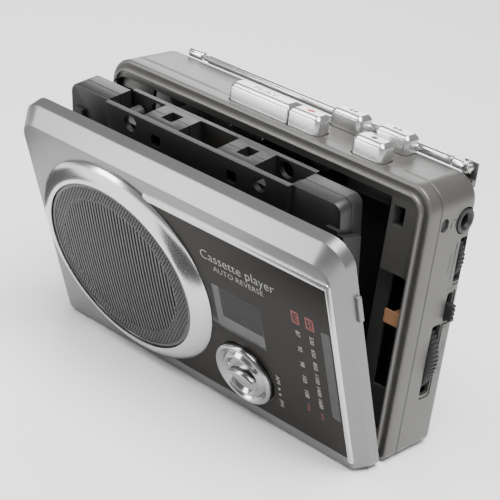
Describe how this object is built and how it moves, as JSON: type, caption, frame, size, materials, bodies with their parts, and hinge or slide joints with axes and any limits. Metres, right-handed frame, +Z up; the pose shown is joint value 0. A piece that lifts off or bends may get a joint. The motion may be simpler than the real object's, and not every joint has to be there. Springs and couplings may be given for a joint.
{
  "type": "portable radio cassette player",
  "caption": "Pocket radio cassette recorder with a drop-front speaker door held open, cassette in its holder, top piano buttons and a folding telescopic antenna.",
  "frame": {"origin": "centre of the case's width on the plane it stands on, level with the front face of the case behind the door", "axes": "+X to the right seen from the front, +Y to the back, +Z up"},
  "size_m": [0.1187, 0.059, 0.0838],
  "materials": {
    "gunmetal": "satin warm grey",
    "silver": "satin silver",
    "chrome": "polished",
    "plated": "bright plated plastic",
    "steel": "plain",
    "black": "matt black",
    "panel": "dark gloss",
    "clear": "smoked clear plastic",
    "rubber": "matt",
    "brass": "plain",
    "copper": "copper coloured",
    "board": "green lacquer",
    "cone": "matt",
    "cream": "plain",
    "tape": "wound tape edge"
  },
  "bodies": {
    "case": {"front_case": "gunmetal", "rear_case": "gunmetal", "bay_frame": "black", "chassis_plate": "steel", "circuit_board": "board", "drive_motor": "steel", "drive_belt": "rubber", "battery_left": "gunmetal", "battery_right": "gunmetal", "battery_spring": "steel", "battery_contact": "steel", "headphone_jack": "black", "microphone": "black", "tuning_capacitor": "cream", "button_spring": "steel", "antenna_pin": "steel", "hinge_pin_left": "steel", "hinge_pin_right": "steel"},
    "battery_cover": {"battery_cover": "black"},
    "motor_pulley": {"motor_pulley": "brass"},
    "flywheel_left": {"flywheel_left": "steel"},
    "flywheel_right": {"flywheel_right": "steel"},
    "spindle_left": {"spindle_left": "cream"},
    "spindle_right": {"spindle_right": "cream"},
    "volume_wheel": {"volume_wheel": "black"},
    "function_switch": {"function_switch": "black"},
    "tuning_wheel": {"tuning_wheel": "black"},
    "tuning_pointer": {"tuning_pointer": "copper"},
    "play_button": {"play_button": "plated"},
    "record_button": {"record_button": "plated"},
    "rewind_button": {"rewind_button": "plated"},
    "fast_forward_button": {"fast_forward_button": "plated"},
    "stop_button": {"stop_button": "plated"},
    "head_carriage": {"head_carriage": "steel", "tape_head": "chrome"},
    "pinch_roller_left": {"pinch_roller_left": "rubber"},
    "pinch_roller_right": {"pinch_roller_right": "rubber"},
    "antenna": {"antenna_outer_tube": "chrome", "antenna_knuckle": "chrome"},
    "antenna_inner": {"antenna_inner_tube": "chrome"},
    "antenna_end": {"antenna_tip": "chrome"},
    "door": {"door_shell": "silver", "speaker_ring": "plated", "speaker_grille": "black", "speaker_frame": "steel", "speaker_cone": "cone", "radio_panel": "panel", "cassette_window": "clear", "dial_window": "clear"},
    "band_knob": {"band_knob": "plated"},
    "holder_arms": {"holder_arms": "steel"},
    "holder": {"cassette_holder": "black"},
    "cassette": {"cassette_front_half": "black", "cassette_rear_half": "black", "pressure_pad": "brass"},
    "hub_left": {"cassette_hub_left": "cream", "tape_pack": "tape"},
    "hub_right": {"cassette_hub_right": "cream"}
  },
  "joints": [
    {"name": "door_hinge", "type": "hinge", "parent": "case", "child": "door", "pos_m": [0, 0.0015, 0.0015], "axis": [1, 0, 0], "range_deg": [-21.9, 0]},
    {"name": "holder_tilt", "type": "hinge", "parent": "door", "child": "holder_arms", "pos_m": [0, -0.00835, 0.0067], "axis": [1, 0, 0], "range_deg": [0, 12.71]},
    {"name": "holder_lift", "type": "slide", "parent": "holder_arms", "child": "holder", "axis": [0, -0.1599, 0.9871], "range_m": [-0.00951, 0]},
    {"name": "cassette_out", "type": "slide", "parent": "holder", "child": "cassette", "axis": [0, -0.1599, 0.9871], "range_m": [0, 0.055]},
    {"name": "hub_left_spin", "type": "hinge", "parent": "cassette", "child": "hub_left", "pos_m": [-0.02785, -0.0071, 0.03963], "axis": [0, 0.9871, 0.1599], "continuous": true},
    {"name": "hub_right_spin", "type": "hinge", "parent": "cassette", "child": "hub_right", "pos_m": [0.01465, -0.0071, 0.03963], "axis": [0, 0.9871, 0.1599], "continuous": true},
    {"name": "band_knob_turn", "type": "hinge", "parent": "door", "child": "band_knob", "pos_m": [0.0198, -0.01496, 0.01482], "axis": [0, -0.9278, -0.373], "range_deg": [-25, 25]},
    {"name": "play_button_press", "type": "slide", "parent": "case", "child": "play_button", "axis": [0, 0, -1], "range_m": [0, 0.0026], "stiffness_N_per_m": 200},
    {"name": "record_button_press", "type": "slide", "parent": "case", "child": "record_button", "axis": [0, 0, -1], "range_m": [0, 0.0026], "stiffness_N_per_m": 200},
    {"name": "rewind_button_press", "type": "slide", "parent": "case", "child": "rewind_button", "axis": [0, 0, -1], "range_m": [0, 0.0026], "stiffness_N_per_m": 200},
    {"name": "fast_forward_button_press", "type": "slide", "parent": "case", "child": "fast_forward_button", "axis": [0, 0, -1], "range_m": [0, 0.0026], "stiffness_N_per_m": 200},
    {"name": "stop_button_press", "type": "slide", "parent": "case", "child": "stop_button", "axis": [0, 0, -1], "range_m": [0, 0.0026], "stiffness_N_per_m": 200},
    {"name": "head_advance", "type": "slide", "parent": "case", "child": "head_carriage", "axis": [0, 0, -1], "range_m": [0, 0.00421]},
    {"name": "pinch_roller_left_spin", "type": "hinge", "parent": "head_carriage", "child": "pinch_roller_left", "pos_m": [-0.0338, 0.0037, 0.07335], "axis": [0, 1, 0], "continuous": true},
    {"name": "pinch_roller_right_spin", "type": "hinge", "parent": "head_carriage", "child": "pinch_roller_right", "pos_m": [0.0206, 0.0037, 0.07335], "axis": [0, 1, 0], "continuous": true},
    {"name": "flywheel_left_spin", "type": "hinge", "parent": "case", "child": "flywheel_left", "pos_m": [-0.0307, 0.012, 0.0645], "axis": [0, 1, 0], "continuous": true},
    {"name": "flywheel_right_spin", "type": "hinge", "parent": "case", "child": "flywheel_right", "pos_m": [0.0175, 0.012, 0.0645], "axis": [0, 1, 0], "continuous": true},
    {"name": "motor_spin", "type": "hinge", "parent": "case", "child": "motor_pulley", "pos_m": [-0.0066, 0.015, 0.03], "axis": [0, 1, 0], "continuous": true},
    {"name": "spindle_left_spin", "type": "hinge", "parent": "case", "child": "spindle_left", "pos_m": [-0.02785, 0.008, 0.0328], "axis": [0, 1, 0], "continuous": true},
    {"name": "spindle_right_spin", "type": "hinge", "parent": "case", "child": "spindle_right", "pos_m": [0.01465, 0.008, 0.0328], "axis": [0, 1, 0], "continuous": true},
    {"name": "volume_turn", "type": "hinge", "parent": "case", "child": "volume_wheel", "pos_m": [0.0504, 0.0188, 0.056], "axis": [0, 1, 0], "range_deg": [-140, 140]},
    {"name": "function_slide", "type": "slide", "parent": "case", "child": "function_switch", "axis": [0, 0, 1], "range_m": [0, 0.0028]},
    {"name": "tuning_turn", "type": "hinge", "parent": "case", "child": "tuning_wheel", "pos_m": [0.0457, 0.0139, 0.0274], "axis": [0, 1, 0], "range_deg": [-190, 105]},
    {"name": "pointer_slide", "type": "slide", "parent": "case", "child": "tuning_pointer", "axis": [0, 0, 1], "range_m": [-0.01802, 0.01]},
    {"name": "antenna_swing", "type": "hinge", "parent": "case", "child": "antenna", "pos_m": [0.053, 0.0218, 0.0795], "axis": [0, 1, 0], "range_deg": [0, 165]},
    {"name": "antenna_middle_slide", "type": "slide", "parent": "antenna", "child": "antenna_inner", "axis": [-1, 0, 0], "range_m": [0, 0.075]},
    {"name": "antenna_end_slide", "type": "slide", "parent": "antenna_inner", "child": "antenna_end", "axis": [-1, 0, 0], "range_m": [0, 0.075]},
    {"name": "battery_cover_off", "type": "slide", "parent": "case", "child": "battery_cover", "axis": [0, 1, 0], "range_m": [0, 0.02]}
  ],
  "couplings": [
    {"joint": "holder_tilt", "follows": "door_hinge", "ratio": -0.57991},
    {"joint": "holder_lift", "follows": "door_hinge", "m_per_rad": 0.024854},
    {"joint": "head_advance", "follows": "play_button_press", "ratio": 1.6154},
    {"joint": "flywheel_right_spin", "follows": "flywheel_left_spin", "ratio": 1},
    {"joint": "motor_spin", "follows": "flywheel_left_spin", "ratio": 3.2857},
    {"joint": "spindle_left_spin", "follows": "flywheel_left_spin", "ratio": 0.15},
    {"joint": "spindle_right_spin", "follows": "flywheel_left_spin", "ratio": 0.15},
    {"joint": "pointer_slide", "follows": "tuning_turn", "m_per_rad": 0.005428}
  ]
}
